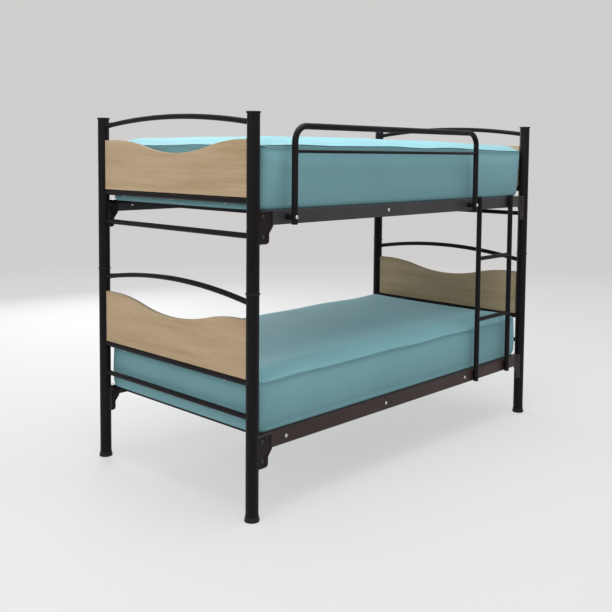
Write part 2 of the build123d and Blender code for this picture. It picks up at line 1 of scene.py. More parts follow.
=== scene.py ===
# %% [markdown]
# # A steel bunk bed with two mattresses
# The frame of the bed is loaded as fixed parts: posts, rails, boards, ladder and guard rail.
# This lesson gives each of them its finish and makes the parts that a solid model can't give
# well: two sewn mattresses, domed bolts and the weld beads where tubes meet posts.

# %% Load the frame
import math

import bmesh
import bpy
from mathutils import Matrix, Vector, noise
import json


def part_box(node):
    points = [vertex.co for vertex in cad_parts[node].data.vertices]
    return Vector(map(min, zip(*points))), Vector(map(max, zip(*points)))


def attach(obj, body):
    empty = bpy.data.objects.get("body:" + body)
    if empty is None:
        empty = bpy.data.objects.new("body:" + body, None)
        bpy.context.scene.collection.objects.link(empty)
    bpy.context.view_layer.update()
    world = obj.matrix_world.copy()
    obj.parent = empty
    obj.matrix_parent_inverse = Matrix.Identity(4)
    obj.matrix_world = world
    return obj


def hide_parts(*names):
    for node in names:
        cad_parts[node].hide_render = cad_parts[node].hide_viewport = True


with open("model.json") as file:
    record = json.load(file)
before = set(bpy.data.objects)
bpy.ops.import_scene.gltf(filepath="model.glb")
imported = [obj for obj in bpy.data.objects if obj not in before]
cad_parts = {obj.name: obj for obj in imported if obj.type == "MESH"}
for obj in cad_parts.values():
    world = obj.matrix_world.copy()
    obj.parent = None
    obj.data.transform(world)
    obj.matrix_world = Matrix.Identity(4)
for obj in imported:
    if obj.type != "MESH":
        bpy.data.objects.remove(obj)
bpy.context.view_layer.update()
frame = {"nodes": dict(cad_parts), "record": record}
nodes = frame["nodes"]

# %% [markdown]
# ## The camera
# The photograph was taken from the front left, a little above the middle of the upper bunk, with
# a normal lens. The place and the turn were solved from the bed's own right angles. The horizon
# of the photograph lies far above the middle of its frame, yet the posts stay nearly upright. So
# the camera is tilted only a little, and its frame is shifted for the rest.

# %% Camera
camera_place = Vector((-3.081, -2.773, 1.379))
camera_turn = math.radians(46.06)
camera_dip = math.radians(3.84)
camera_roll = math.radians(-0.456)
image_pixels = 612
focal_pixels = 846.9
axis_pixel_row = 212
sensor_width = 36.0

ahead = Vector(
    (
        math.sin(camera_turn) * math.cos(camera_dip),
        math.cos(camera_turn) * math.cos(camera_dip),
        -math.sin(camera_dip),
    )
)
level_right = Vector((math.cos(camera_turn), -math.sin(camera_turn), 0))
level_down = ahead.cross(level_right)
right = level_right * math.cos(camera_roll) + level_down * math.sin(camera_roll)
down = level_down * math.cos(camera_roll) - level_right * math.sin(camera_roll)

camera_data = bpy.data.cameras.new("camera")
camera_data.sensor_width = sensor_width
camera_data.lens = focal_pixels / image_pixels * sensor_width
camera_data.shift_y = (axis_pixel_row - image_pixels / 2) / image_pixels
camera = bpy.data.objects.new("camera", camera_data)
turn = Matrix((right, -down, -ahead)).transposed()
camera.matrix_world = Matrix.Translation(camera_place) @ turn.to_4x4()
bpy.context.scene.collection.objects.link(camera)
bpy.context.scene.camera = camera
print("lens", round(camera_data.lens, 2), "shift", round(camera_data.shift_y, 3))

# %% [markdown]
# ## Material helpers
# Every finish here is a principled shader with a few nodes before it. The helpers below only save
# typing: one makes a material with its constant values on the shader's own sockets, one adds a
# noise that reads object coordinates, one turns a noise into colour, one into another range, one
# mixes colours and one makes bump.


# %% Material helpers
def new_material(name, color, roughness, **values):
    """A material whose shader holds constant values, with spaces in the names as underscores."""
    material = bpy.data.materials.new(name)
    material.use_nodes = True
    shader = material.node_tree.nodes["Principled BSDF"]
    shader.inputs["Base Color"].default_value = (*color, 1)
    shader.inputs["Roughness"].default_value = roughness
    for key, value in values.items():
        shader.inputs[key.replace("_", " ")].default_value = value
    return material, material.node_tree, shader


def object_noise(tree, scale, stretch=(1, 1, 1), detail=4, roughness=0.55):
    """Noise over object coordinates, stretched by shares of its scale along X, Y and Z."""
    place = tree.nodes.new("ShaderNodeTexCoord")
    mapping = tree.nodes.new("ShaderNodeMapping")
    mapping.inputs["Scale"].default_value = stretch
    texture = tree.nodes.new("ShaderNodeTexNoise")
    texture.inputs["Scale"].default_value = scale
    texture.inputs["Detail"].default_value = detail
    texture.inputs["Roughness"].default_value = roughness
    tree.links.new(place.outputs["Object"], mapping.inputs["Vector"])
    tree.links.new(mapping.outputs["Vector"], texture.inputs["Vector"])
    return texture.outputs["Fac"]


def ramp(tree, source, stops):
    """Colour ramp over a value: stops are (place, colour) pairs."""
    node = tree.nodes.new("ShaderNodeValToRGB")
    elements = node.color_ramp.elements
    while len(elements) < len(stops):
        # A new stop starts halfway and gets its own place below.
        elements.new(0.5)
    for element, (place, color) in zip(elements, stops):
        element.position = place
        element.color = (*color, 1)
    tree.links.new(source, node.inputs["Fac"])
    return node.outputs["Color"]


def spread(tree, source, low, high):
    """Map a value from 0..1 to low..high."""
    node = tree.nodes.new("ShaderNodeMapRange")
    node.inputs["To Min"].default_value = low
    node.inputs["To Max"].default_value = high
    tree.links.new(source, node.inputs["Value"])
    return node.outputs["Result"]


def blend_colors(tree, share, first, second, mode="MIX"):
    """Mix two colours, each a socket or a plain triple."""
    node = tree.nodes.new("ShaderNodeMix")
    node.data_type = "RGBA"
    node.blend_type = mode
    # Of the node's inputs, 0 is the share and 6 and 7 are the colours. Its output 2 is a colour.
    for socket, value in ((node.inputs[0], share), (node.inputs[6], first), (node.inputs[7], second)):
        if isinstance(value, bpy.types.NodeSocket):
            tree.links.new(value, socket)
        elif isinstance(value, tuple):
            socket.default_value = (*value, 1)
        else:
            socket.default_value = value
    return node.outputs[2]


def add_bump(tree, shader, heights, depths):
    """Chain of bump nodes, one for each height socket, with its depth in metres."""
    previous = None
    for height, depth in zip(heights, depths):
        bump = tree.nodes.new("ShaderNodeBump")
        bump.inputs["Strength"].default_value = 1.0
        bump.inputs["Distance"].default_value = depth
        tree.links.new(height, bump.inputs["Height"])
        if previous is not None:
            tree.links.new(previous, bump.inputs["Normal"])
        previous = bump.outputs["Normal"]
    tree.links.new(previous, shader.inputs["Normal"])


print("material helpers are ready")

# %% [markdown]
# ## Powder coat
# The tubes and rails are steel under a baked satin black powder. Up close such a coat has orange
# peel: a shallow swell a millimetre or two across. Its shine also varies a little from place to
# place. Bump is enough for the peel, because it is far too shallow to show in an outline.
# The posts and tubes are black. The lower rails are browner, the upper ones greyer, and the
# plates at the ends of the rails dark brown.

# %% Powder coat
smoother = 0.06
rougher = 0.08
pale_gain = 1.35
pale_lift = 0.002
dust_start = 0.35
dust_full = 0.75
peel_depth = 0.00012


def make_powder_coat(name, color, roughness, gloss):
    """Satin coat with a cloudy shine, faint dust and orange peel."""
    material, tree, shader = new_material(name, color, roughness, Specular_IOR_Level=gloss)
    cloud = object_noise(tree, scale=9.0, detail=3)
    shine = spread(tree, cloud, low=roughness - smoother, high=roughness + rougher)
    tree.links.new(shine, shader.inputs["Roughness"])
    dust = object_noise(tree, scale=4.0, stretch=(1, 1, 0.4), detail=6)
    pale = tuple(value * pale_gain + pale_lift for value in color)
    tone = ramp(tree, dust, [(dust_start, color), (dust_full, pale)])
    tree.links.new(tone, shader.inputs["Base Color"])
    peel = object_noise(tree, scale=620.0, detail=2)
    add_bump(tree, shader, heights=[peel], depths=[peel_depth])
    return material


black_coat = make_powder_coat("black_powder_coat", (0.0080, 0.0062, 0.0080), 0.36, 0.10)
rail_coat = make_powder_coat("brown_black_powder_coat", (0.036, 0.020, 0.018), 0.42, 0.25)
upper_rail_coat = make_powder_coat("charcoal_powder_coat", (0.036, 0.034, 0.037), 0.42, 0.3)
plate_coat = make_powder_coat("dark_brown_powder_coat", (0.0155, 0.0102, 0.0105), 0.40, 0.15)
print("coats", black_coat.name, rail_coat.name, upper_rail_coat.name, plate_coat.name)

# %% [markdown]
# ## Beech boards
# The end panels are boards with a light beech face. The grain runs level, along the board, as
# long soft streaks with short dark flecks between them. Noise that is stretched along Y, the way
# of the grain, gives both, and a wide band of tone lies under them. The sawn edges are matt, and
# their colour is darker and greyer than that of the faces: painted shade. The surface's own
# direction tells them from the faces, which look along X.

# %% Beech
band_tones = (
    (0.30, (0.465, 0.325, 0.19)),
    (0.50, (0.555, 0.41, 0.255)),
    (0.72, (0.62, 0.47, 0.305)),
)
streak_tones = ((0.34, (0.85, 0.81, 0.76)), (0.56, (1.0, 1.0, 1.0)))
streak_share = 0.65
streak_depth = 0.00015
fleck_tones = ((0.26, (0.66, 0.56, 0.47)), (0.36, (1.0, 1.0, 1.0)))
fleck_share = 0.6
fleck_depth = 0.0001
# The edges' darker colour is painted shade.
painted_edge_shade = (0.30, 0.24, 0.175)
edge_roughness = 0.9
edge_below = 0.45
face_above = 0.8


def share_on_face(tree):
    """1 on the two faces of a board and 0 on its sawn edges."""
    place = tree.nodes.new("ShaderNodeTexCoord")
    parts = tree.nodes.new("ShaderNodeSeparateXYZ")
    tree.links.new(place.outputs["Normal"], parts.inputs["Vector"])
    size = tree.nodes.new("ShaderNodeMath")
    size.operation = "ABSOLUTE"
    tree.links.new(parts.outputs["X"], size.inputs[0])
    on_face = tree.nodes.new("ShaderNodeMapRange")
    on_face.inputs["From Min"].default_value = edge_below
    on_face.inputs["From Max"].default_value = face_above
    tree.links.new(size.outputs["Value"], on_face.inputs["Value"])
    return on_face.outputs["Result"]


def make_beech():
    material, tree, shader = new_material("beech", (0.50, 0.36, 0.21), 0.42, Specular_IOR_Level=0.22)
    bands = object_noise(tree, scale=5.0, stretch=(1, 0.25, 3.4), detail=5, roughness=0.6)
    tone = ramp(tree, bands, band_tones)
    streaks = object_noise(tree, scale=60.0, stretch=(1, 0.035, 1.5), detail=6, roughness=0.7)
    lines = ramp(tree, streaks, streak_tones)
    toned = blend_colors(tree, streak_share, tone, lines, "MULTIPLY")
    flecks = object_noise(tree, scale=230.0, stretch=(1, 0.07, 1.3), detail=2)
    dots = ramp(tree, flecks, fleck_tones)
    face = blend_colors(tree, fleck_share, toned, dots, "MULTIPLY")
    on_face = share_on_face(tree)
    # Painted shade: the edges take the darker colour.
    color = blend_colors(tree, on_face, painted_edge_shade, face)
    tree.links.new(color, shader.inputs["Base Color"])
    shine = tree.nodes.new("ShaderNodeMapRange")
    shine.inputs["To Min"].default_value = edge_roughness
    tree.links.new(on_face, shine.inputs["Value"])
    tree.links.new(spread(tree, streaks, low=0.36, high=0.50), shine.inputs["To Max"])
    tree.links.new(shine.outputs["Result"], shader.inputs["Roughness"])
    add_bump(tree, shader, heights=[streaks, flecks], depths=[streak_depth, fleck_depth])
    return material


beech = make_beech()
print("board finish", beech.name)

# %% [markdown]
# ## Plastic and bolts
# Feet, collars, caps and tube plugs are moulded in matt black plastic with a fine grain. The
# bolts along the rails are zinc plated: bright, with a soft cloudy shine. Those through the end
# plates have a dull black coating, with small pale grey spots at random places in its colour:
# painted glints.

# %% Plastic and bolts
grain_depth = 0.00008
zinc_tones = ((0.3, (0.50, 0.50, 0.49)), (0.7, (0.68, 0.68, 0.66)))
bolt_black = (0.022, 0.021, 0.021)
# Pale grey spots in the black of the end bolts are painted glints.
painted_glint_tones = ((0.58, bolt_black), (0.72, (0.16, 0.16, 0.165)))


def make_plastic():
    material, tree, shader = new_material(
        "black_plastic", (0.008, 0.0075, 0.008), 0.55, Specular_IOR_Level=0.25
    )
    cloud = object_noise(tree, scale=30.0, detail=3)
    tree.links.new(spread(tree, cloud, low=0.48, high=0.62), shader.inputs["Roughness"])
    grain = object_noise(tree, scale=1500.0, detail=1)
    add_bump(tree, shader, heights=[grain], depths=[grain_depth])
    return material


def make_zinc():
    material, tree, shader = new_material("zinc_plate", (0.60, 0.60, 0.58), 0.32, Metallic=1.0)
    cloud = object_noise(tree, scale=260.0, detail=4)
    tree.links.new(spread(tree, cloud, low=0.22, high=0.45), shader.inputs["Roughness"])
    tree.links.new(ramp(tree, cloud, zinc_tones), shader.inputs["Base Color"])
    return material


def make_black_bolt():
    material, tree, shader = new_material("black_bolt_coat", bolt_black, 0.4)
    glint_spot_noise = object_noise(tree, scale=190.0, detail=4)
    # Painted glints: pale grey spots at random over the black.
    tree.links.new(ramp(tree, glint_spot_noise, painted_glint_tones), shader.inputs["Base Color"])
    tree.links.new(spread(tree, glint_spot_noise, low=0.30, high=0.48), shader.inputs["Roughness"])
    return material


black_plastic = make_plastic()
zinc = make_zinc()
black_bolt = make_black_bolt()
print("plastic and bolts", black_plastic.name, zinc.name, black_bolt.name)

# %% [markdown]
# ## Finishes on the frame's own parts
# The imported record says which material slot each node takes. One table turns a slot into one of
# the finishes above, and each node's mesh gets that finish in its first slot. Two kinds of node
# differ from their slot's finish: the plates and brackets at the ends of the rails, which are
# nearly as black as the posts they are bolted to, and the upper rails, which are greyer.

# %% Paint the frame
finish_of_slot = {
    "frame_steel": black_coat,
    "rail_steel": rail_coat,
    "beech_board": beech,
    "foot_plastic": black_plastic,
    "cap_plastic": black_plastic,
    "zinc_bolts": zinc,
    "black_bolts": black_bolt,
}
painted = 0
for subpart in frame["record"]["subparts"]:
    node = subpart["node"]
    finish = finish_of_slot.get(subpart["material_slot"])
    if finish is None:
        continue
    if node.endswith(("end_plates", "post_brackets")):
        finish = plate_coat
    elif node.startswith("upper_rail") and finish is rail_coat:
        finish = upper_rail_coat
    mesh = nodes[node].data
    mesh.materials.clear()
    mesh.materials.append(finish)
    painted += 1
print("painted", painted)

# %% [markdown]
# ## Mattress cover
# The cover is a smooth turquoise weave with a slight sheen. Its threads are about a millimetre
# apart, too fine for geometry, so they are bump and a faint change of tone, broken up by noise
# so that no pattern repeats. A wide slow noise gives the cloth its uneven dye.

# %% Mattress cover
dye_tones = ((0.3, (0.200, 0.413, 0.454)), (0.7, (0.226, 0.452, 0.496)))
thread_tones = ((0.35, (0.91, 0.93, 0.94)), (0.65, (1.0, 1.0, 1.0)))
thread_depth = 0.00025
crumple_depth = 0.0007


def make_cover():
    material, tree, shader = new_material(
        "turquoise_cover",
        (0.212, 0.44, 0.487),
        0.66,
        Sheen_Weight=0.12,
        Sheen_Roughness=0.4,
        Sheen_Tint=(0.85, 0.94, 1.0, 1.0),
        Specular_IOR_Level=0.3,
    )
    wide = object_noise(tree, scale=2.2, detail=3)
    fine = object_noise(tree, scale=420.0, detail=3)
    dye = ramp(tree, wide, dye_tones)
    threads = ramp(tree, fine, thread_tones)
    color = blend_colors(tree, 1.0, dye, threads, "MULTIPLY")
    tree.links.new(color, shader.inputs["Base Color"])
    tree.links.new(spread(tree, wide, low=0.60, high=0.72), shader.inputs["Roughness"])
    soft = object_noise(tree, scale=28.0, detail=4)
    add_bump(tree, shader, heights=[soft, fine], depths=[crumple_depth, thread_depth])
    return material


cover = make_cover()
print("cover", cover.name)

# %% [markdown]
# ## Mattresses
# A mattress is foam in a sewn cover. A level seam runs round its top edge: below it the side
# band stands upright, above it the top panel leans back and crowns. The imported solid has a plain
# round shoulder there. So its mesh is copied, the shoulder is turned into the leaning panel, and
# the result is remeshed into even squares and blown up a little with cloth while the rows at the
# seam and near the base are held still. No point may move further than the puff. Then the
# underside is pressed flat and the seam is creased, because remeshing would have lost both.
#
# In the table, values in fours come in the order left end, right end, front, back. They differ
# from side to side, because no cover sits quite evenly on its foam. The voxel is the side of the
# remesh's squares: those of the thicker mattress are slightly larger, so that its cover stays
# under 200,000 triangles. The top seam is how far the seam lies below the top. The draw-in is how
# far a side stands in at its foot, and its reach is the share of the height up to the seam over
# which that fades out. The lean is how far the top panel stands in where its crown begins. The
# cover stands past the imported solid's box by past_box, or stops short of it where that is less
# than zero. The end drop is how much lower the top is at the right end.

# %% Mattress values
puff = 0.005
mattress_shapes = {
    "lower_mattress": {
        "voxel": 0.015,
        "top_seam": 0.037,
        "draw_in": (0.004, 0.006, 0.004, 0.004),
        "draw_reach": 0.2,
        "lean": (0.050, 0.050, 0.050, 0.050),
        "past_box": (0.004, -0.008, 0.0, 0.0),
        "end_drop": 0.0,
    },
    "upper_mattress": {
        "voxel": 0.01516,
        "top_seam": 0.044,
        "draw_in": (0.003, 0.028, 0.008, 0.010),
        "draw_reach": 1.0,
        "lean": (0.062, 0.014, 0.062, 0.062),
        "past_box": (0.0, 0.004, 0.006, 0.0),
        "end_drop": 0.015,
    },
}

# %% [markdown]
# The steps below share some small helpers for meshes. A level cut returns the points on the cut,
# so that they can be moved as one ring.

# %% Mesh helpers
cut_snap = 0.0002


def shade(mesh, smooth):
    """Mark all faces of a mesh as smooth or as flat."""
    for polygon in mesh.polygons:
        polygon.use_smooth = smooth


def mesh_object(name, bm, finish, smooth=True):
    """New object from a bmesh, with its place in its mesh."""
    mesh = bpy.data.meshes.new(name)
    bm.to_mesh(mesh)
    bm.free()
    mesh.materials.append(finish)
    shade(mesh, smooth)
    piece = bpy.data.objects.new(name, mesh)
    bpy.context.scene.collection.objects.link(piece)
    return piece


def apply_modifiers(piece):
    """Replace a piece's mesh by what its modifiers make of it."""
    depsgraph = bpy.context.evaluated_depsgraph_get()
    made = bpy.data.meshes.new_from_object(piece.evaluated_get(depsgraph))
    piece.modifiers.clear()
    old = piece.data
    piece.data = made
    bpy.data.meshes.remove(old)


def corners(verts):
    """Lowest and highest corner of the box round some points."""
    low = Vector([min(vertex.co[axis] for vertex in verts) for axis in range(3)])
    high = Vector([max(vertex.co[axis] for vertex in verts) for axis in range(3)])
    return low, high


def level_cut(bm, height):
    """Cut a mesh along a level plane and return the points on the cut."""
    cut = bmesh.ops.bisect_plane(
        bm,
        geom=bm.verts[:] + bm.edges[:] + bm.faces[:],
        dist=cut_snap,
        plane_co=(0, 0, height),
        plane_no=(0, 0, 1),
    )
    return [item for item in cut["geom_cut"] if isinstance(item, bmesh.types.BMVert)]


def soft_step(value):
    """Smooth ramp from 0 to 1 as the value goes from 0 to 1."""
    value = min(max(value, 0.0), 1.0)
    return value * value * (3 - 2 * value)


print("soft step in quarters", [soft_step(number / 4) for number in range(5)])

# %% [markdown]
# All that changes along the height of a mattress is how far its sides stand in from its box.
# The old and the new inset at a height give the share by which that level is scaled. The same
# share for all points of a level keeps the corners round. A few level cuts first give the plain
# sides rows of points that can move.
#
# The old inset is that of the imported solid: it is drawn in at its foot and ends in a shoulder, a
# quarter circle that meets the crown of the top. The new one leaves the seam at a set slope, the
# lean's start, and curves in further until it has the side's own lean where the crown begins. A
# side with little lean goes there in a straight line.

# %% Shape of the sides
shoulder_radius = 0.034
crown = 0.010
solid_draw_in = 0.010
lean_start = 1.6
draw_cuts = (0.06, 0.10, 0.14)
merge_distance = 1e-5


def side_number(point, middle, axis):
    """Which of the four sides a point is on: 0 left, 1 right, 2 front, 3 back."""
    return axis * 2 + (point[axis] > middle[axis])


def cover_box(node, shape):
    """Lowest and highest corner that the finished cover fills."""
    low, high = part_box(node)
    left, right, front, back = shape["past_box"]
    return low - Vector((left, front, 0)), high + Vector((right, back, 0))


def round_inset(height, low, top):
    """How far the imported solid's drawn-in side and round shoulder stand in at a height."""
    shoulder = top - crown - shoulder_radius
    rise = min(max(height - shoulder, 0.0), shoulder_radius)
    drawn = solid_draw_in * (1 - min((height - low) / (shoulder - low), 1.0))
    return drawn + shoulder_radius - math.sqrt(shoulder_radius**2 - rise**2)


def leaning_inset(height, low, top, shape, side):
    """How far the finished mattress stands in at a height, on one of its four sides."""
    seam = top - shape["top_seam"]
    if height <= seam:
        level = (height - low) / (seam - low) / shape["draw_reach"]
        return shape["draw_in"][side] * (1 - min(level, 1.0))
    full_rise = shape["top_seam"] - crown
    rise = min(height - seam, full_rise)
    start = min(lean_start, shape["lean"][side] / full_rise)
    curve = (shape["lean"][side] - start * full_rise) / full_rise**2
    return start * rise + curve * rise**2


def reshaped_copy(node, shape):
    """The node's mesh, closed, with a leaning top panel, and drawn in on all sides by the puff."""
    low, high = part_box(node)
    middle = (low + high) / 2
    half = (high - low) / 2
    bm = bmesh.new()
    bm.from_mesh(nodes[node].data)
    bmesh.ops.remove_doubles(bm, verts=bm.verts[:], dist=merge_distance)
    level_cut(bm, high.z - shape["top_seam"])
    for rise in draw_cuts:
        level_cut(bm, low.z + rise)
    for vertex in bm.verts:
        old = round_inset(vertex.co.z, low.z, high.z)
        for axis in (0, 1):
            side = side_number(vertex.co, middle, axis)
            new = leaning_inset(vertex.co.z, low.z, high.z, shape, side)
            share = (half[axis] - new) / (half[axis] - old)
            vertex.co[axis] = middle[axis] + (vertex.co[axis] - middle[axis]) * share
    inner = Vector([(side - puff) / side for side in half])
    bmesh.ops.scale(bm, vec=inner, space=Matrix.Translation(-middle), verts=bm.verts[:])
    return mesh_object(f"{node}_cover", bm, cover)


for node, shape in mattress_shapes.items():
    low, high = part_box(node)
    insets = [leaning_inset(high.z, low.z, high.z, shape, side) for side in range(4)]
    print(node, "top stands in", [round(inset, 4) for inset in insets])

# %% [markdown]
# The cloth step. Rows near the seam and the base get full weight in the pinned group, so the
# panels swell between them as foam does in a tight cover. The simulation finds by itself how far
# each place of a panel can swell, also round the corners.

# %% Puff
cloth_frames = 20
cloth_pressure = 4.0
hold_band = 0.008
base_hold = 0.017


def puff_up(piece, held_heights):
    """Blow the piece up with cloth pressure, with the rows at the held heights kept still."""
    rest = [vertex.co.copy() for vertex in piece.data.vertices]
    held = piece.vertex_groups.new(name="held")
    rows = [
        index for index, point in enumerate(rest)
        if min(abs(point.z - height) for height in held_heights) < hold_band
    ]
    held.add(rows, 1.0, "REPLACE")
    cloth = piece.modifiers.new("cloth", "CLOTH")
    cloth.settings.use_pressure = True
    cloth.settings.uniform_pressure_force = cloth_pressure
    cloth.settings.effector_weights.gravity = 0
    cloth.settings.vertex_group_mass = "held"
    cloth.point_cache.frame_start = 1
    cloth.point_cache.frame_end = cloth_frames
    for number in range(1, cloth_frames + 1):
        bpy.context.scene.frame_set(number)
    apply_modifiers(piece)
    furthest = 0.0
    for vertex, start in zip(piece.data.vertices, rest):
        move = vertex.co - start
        furthest = max(furthest, move.length)
        if move.length > puff:
            vertex.co = start + move * (puff / move.length)
    bpy.context.scene.frame_set(1)
    print(piece.name, "furthest move before the cap", round(furthest, 4))


print("cloth runs for", cloth_frames, "frames at pressure", cloth_pressure)

# %% [markdown]
# Remeshing rounds every edge by about one square. The edges that matter are set again as rings:
# a level cut, whose points are moved onto a rectangle with round corners. Three rings close
# together make a crisp seam, and the middle one is pulled in as its crease. The underside is
# pressed flat and stays between the rails, and two rings above it carry the side out over them:
# each is given by its height above the base and how much it stands in beyond the draw-in.

# %% Rings
corner_radius = 0.042
ring_gap = 0.0020
seam_depth = 0.0012
under_slope = -0.35
under_inset = 0.0112
base_rings = ((0.0029, 0.0020), (0.0080, -0.0010))


def onto_outline(vertex, low, high, insets, pull_only=False):
    """Move a point onto a rectangle with round corners that stands in from a box by the insets."""
    middle = (low + high) / 2
    ways, cores, outs = [], [], []
    for axis in (0, 1):
        side = side_number(vertex.co, middle, axis)
        ways.append(1 if side % 2 else -1)
        half = abs((high if side % 2 else low)[axis] - middle[axis])
        cores.append(half - insets[side] - corner_radius)
        outs.append(max(abs(vertex.co[axis] - middle[axis]) - cores[axis], 0.0))
    reach = math.hypot(*outs)
    if reach == 0 or (pull_only and reach < corner_radius):
        return
    for axis in (0, 1):
        if outs[axis]:
            place = cores[axis] + outs[axis] * corner_radius / reach
            vertex.co[axis] = middle[axis] + ways[axis] * place


def set_ring(bm, low, high, height, insets):
    """Cut a level ring and put its points on the outline at the insets."""
    ring = level_cut(bm, height)
    for vertex in ring:
        onto_outline(vertex, low, high, insets)
    return ring


def flatten_base(bm, low, high, shape):
    """Press the underside flat, inside the outline between the rails."""
    bm.normal_update()
    insets = [under_inset + past for past in shape["past_box"]]
    for vertex in bm.verts:
        if vertex.normal.z < under_slope:
            vertex.co.z = low.z
            onto_outline(vertex, low, high, insets, pull_only=True)


def crease(bm, low, high, height, shape):
    """Three rings at a seam, the middle one pulled in."""
    for step in (-1, 1, 0):
        place = height + step * ring_gap
        insets = [leaning_inset(place, low.z, high.z, shape, side) for side in range(4)]
        ring = set_ring(bm, low, high, place, insets)
    bm.normal_update()
    moves = [(vertex, vertex.normal.copy()) for vertex in ring]
    for vertex, normal in moves:
        vertex.co -= normal * seam_depth
    return len(moves)


print("seam crease", seam_depth, "deep, underside", under_inset, "inside the box")

# %% [markdown]
# A seam is hand guided, so it wanders a little up and down, and the foam under the cover is never
# quite even. Both are slow waves from a fixed noise: the same each time the script runs. The
# upper mattress is also a little thinner at its right end, where people climb in.

# %% Unevenness
seam_wander = 0.0045
seam_waves_per_metre = 4.2
noise_level = 0.4
wander_reach = 0.07
swell = 0.0028
swell_waves_per_metre = 2.6
base_fade = 0.03
drop_start = 0.3
drop_length = 0.6
drop_power = 4


def loosen(bm, node, seam, end_drop):
    """Let the seam wander and the panels swell and sink a little, but keep the base flat."""
    low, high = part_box(node)
    bm.normal_update()
    moves = []
    for vertex in bm.verts:
        point = vertex.co
        off_base = soft_step((point.z - low.z) / base_fade)
        wave = noise.noise(point * swell_waves_per_metre)
        move = vertex.normal * (swell * wave * off_base)
        near = 1 - soft_step(abs(point.z - seam) / wander_reach)
        flat = Vector((point.x * seam_waves_per_metre, point.y * seam_waves_per_metre, noise_level))
        move.z += seam_wander * noise.noise(flat) * near * off_base
        level = ((point.z - low.z) / (high.z - low.z)) ** drop_power
        move.z -= end_drop * level * soft_step((point.x - drop_start) / drop_length)
        moves.append(move)
    for vertex, move in zip(bm.verts, moves):
        vertex.co += move


print("seam wanders by up to", seam_wander, "and the panels swell by up to", swell)

# %% [markdown]
# All these steps together make a mattress. Smoothing and the cloth leave its box a little off,
# so the points are stretched to it before the rings are set. At the end one subdivision
# softens the squares. The real piece is firm foam in a closed cover.

# %% Both mattresses
smooth_share = 0.5


def fit_to_box(bm, low, high):
    """Stretch the points a little, so that they fill the finished cover's box."""
    made_low, made_high = corners(bm.verts)
    for vertex in bm.verts:
        for axis in range(3):
            share = (vertex.co[axis] - made_low[axis]) / (made_high[axis] - made_low[axis])
            vertex.co[axis] = low[axis] + share * (high[axis] - low[axis])


def make_mattress(node, body, shape):
    """The finished cover in place of a packed mattress."""
    low, high = cover_box(node, shape)
    seam = high.z - shape["top_seam"]
    piece = reshaped_copy(node, shape)
    remesh = piece.modifiers.new("remesh", "REMESH")
    remesh.mode = "VOXEL"
    remesh.voxel_size = shape["voxel"]
    apply_modifiers(piece)
    puff_up(piece, (seam, low.z + base_hold))
    bm = bmesh.new()
    bm.from_mesh(piece.data)
    axes = {"use_axis_x": True, "use_axis_y": True, "use_axis_z": True}
    bmesh.ops.smooth_vert(bm, verts=bm.verts[:], factor=smooth_share, **axes)
    fit_to_box(bm, low, high)
    flatten_base(bm, low, high, shape)
    for rise, extra in base_rings:
        set_ring(bm, low, high, low.z + rise, [inset + extra for inset in shape["draw_in"]])
    seam_points = crease(bm, low, high, seam, shape)
    loosen(bm, node, seam, shape["end_drop"])
    bm.to_mesh(piece.data)
    bm.free()
    shade(piece.data, smooth=True)
    softened = piece.modifiers.new("softened", "SUBSURF")
    softened.levels = 1
    softened.render_levels = 1
    piece.data.materials.clear()
    piece.data.materials.append(cover)
    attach(piece, body)
    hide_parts(node)
    print(node, "seam points", seam_points, "faces", len(piece.data.polygons))


for node, shape in mattress_shapes.items():
    make_mattress(node, node, shape)

# %% [markdown]
# ## Bolts and nuts
# A bed bolt has a low domed head with a hexagon socket, and a nut with chamfered corners behind
# the steel. Both are round shapes grown from one circle: its edge is extruded again and again,
# and each new ring is set to a radius and a height, or to a hexagon. One list of rings is then
# the whole drawing of a head, and every ring keeps the same number of points.

# %% Rings to a solid
bolt_points = 24
sector = math.radians(60)


def hexagon_reach(angle, flats):
    """Distance from the middle of a hexagon to its outline, in one direction."""
    return flats / 2 / math.cos(angle % sector - sector / 2)


def place_ring(verts, height, radius, flats):
    """Put a ring's points at a height, on a circle or on a hexagon of the given flats."""
    for vertex in verts:
        angle = math.atan2(vertex.co.y, vertex.co.x)
        reach = hexagon_reach(angle, flats) if flats else radius
        vertex.co = Vector((math.cos(angle) * reach, math.sin(angle) * reach, height))


def ring_edges(bm, verts):
    """The edges of a new ring, in a fixed order."""
    bm.edges.index_update()
    found = {edge for vertex in verts for edge in vertex.link_edges}
    return sorted(found, key=lambda edge: edge.index)


def grow_rings(bm, rings, closed):
    """Extrude a circle through all rings; the last one is filled, or joined to the first."""
    first = bmesh.ops.create_circle(bm, segments=bolt_points, radius=1.0)["verts"]
    place_ring(first, *rings[0])
    first_edges = ring_edges(bm, first)
    edges, made = first_edges, list(first)
    for ring in rings[1:]:
        grown = bmesh.ops.extrude_edge_only(bm, edges=edges)["geom"]
        verts = [item for item in grown if isinstance(item, bmesh.types.BMVert)]
        edges = [
            item for item in grown
            if isinstance(item, bmesh.types.BMEdge) and item.is_boundary
        ]
        place_ring(verts, *ring)
        made += verts
    if closed:
        bmesh.ops.bridge_loops(bm, edges=first_edges + edges)
    else:
        bmesh.ops.edgeloop_fill(bm, edges=first_edges)
        bmesh.ops.edgeloop_fill(bm, edges=edges)
    return made


print("points in each ring", bolt_points)

# %% [markdown]
# The rings of a bolt run from the tip of its shank, over the thread at its end, to the underside
# of the head, over the dome and down into the socket. Those of a nut run once round its section.
# The dome is a list of heights with shares of the head's radius, and the socket one of heights
# with shares of its flats: it is a little wider at its mouth.

